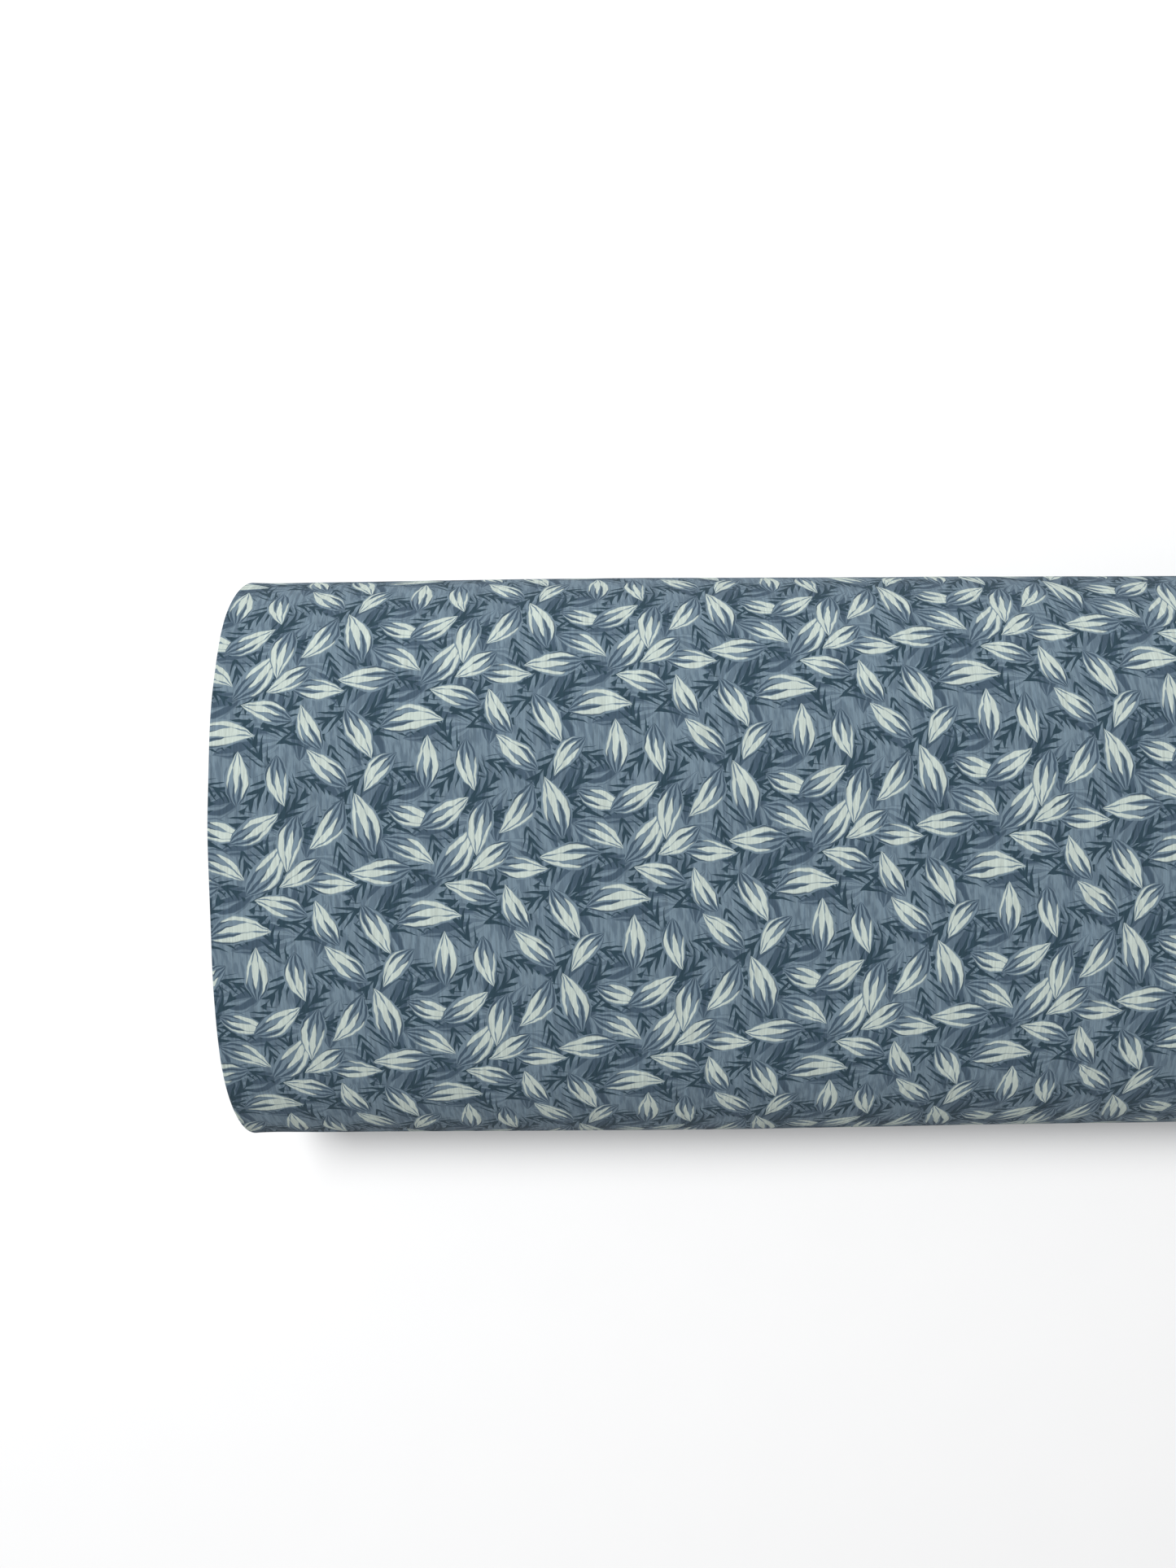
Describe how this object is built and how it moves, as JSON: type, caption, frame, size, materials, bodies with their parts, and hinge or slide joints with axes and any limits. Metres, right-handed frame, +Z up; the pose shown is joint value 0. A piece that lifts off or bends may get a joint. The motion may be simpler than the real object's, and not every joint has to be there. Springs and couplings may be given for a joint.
{
  "type": "fabric bolt",
  "caption": "Bolt of printed quilting cotton, folded in half and wound on a flat cardboard board, its pinned tail free to lift and an end label tucked in the board.",
  "frame": {"origin": "middle of the bolt's underside, on the surface that it lies on", "axes": "+X along the bolt from the cloth's folded edge to its selvedges and label, +Y across it to the side with the pinned tail, +Z up through the board's flat side"},
  "size_m": [0.5698, 0.241, 0.108],
  "materials": {
    "printed_cloth": "matte plain-weave cotton with an all-over leaf print",
    "kraft_board": "smooth kraft liner",
    "corrugated_core": "raw corrugated board",
    "paper_tape": "smooth gummed paper",
    "label_card": "smooth card",
    "pin_steel": "polished nickel plate",
    "pin_glass": "glossy ball head"
  },
  "bodies": {
    "roll": {"fabric_roll": "printed_cloth", "board_sleeve": "kraft_board", "core_liner_bottom": "corrugated_core", "core_flute_lower": "corrugated_core", "core_liner_middle": "corrugated_core", "core_flute_upper": "corrugated_core", "core_liner_top": "corrugated_core", "start_tape": "paper_tape"},
    "tail": {"fabric_tail": "printed_cloth"},
    "label": {"end_label": "label_card"},
    "pin_1": {"pin_1_shank": "pin_steel", "pin_1_head": "pin_glass"},
    "pin_2": {"pin_2_shank": "pin_steel", "pin_2_head": "pin_glass"},
    "pin_3": {"pin_3_shank": "pin_steel", "pin_3_head": "pin_glass"}
  },
  "joints": [
    {"name": "tail_lift", "type": "hinge", "parent": "roll", "child": "tail", "pos_m": [0, 0.11912, 0.05788], "axis": [1, 0, 0], "range_deg": [0, 100]},
    {"name": "label_pull", "type": "slide", "parent": "roll", "child": "label", "axis": [1, 0, 0], "range_m": [0, 0.05]},
    {"name": "pin_1_pull", "type": "slide", "parent": "tail", "child": "pin_1", "axis": [0.9988, 0.0358, -0.0327], "range_m": [0, 0.03]},
    {"name": "pin_2_pull", "type": "slide", "parent": "tail", "child": "pin_2", "axis": [0.9988, 0.0358, -0.0327], "range_m": [0, 0.03]},
    {"name": "pin_3_pull", "type": "slide", "parent": "tail", "child": "pin_3", "axis": [0.9988, 0.0358, -0.0327], "range_m": [0, 0.03]}
  ]
}
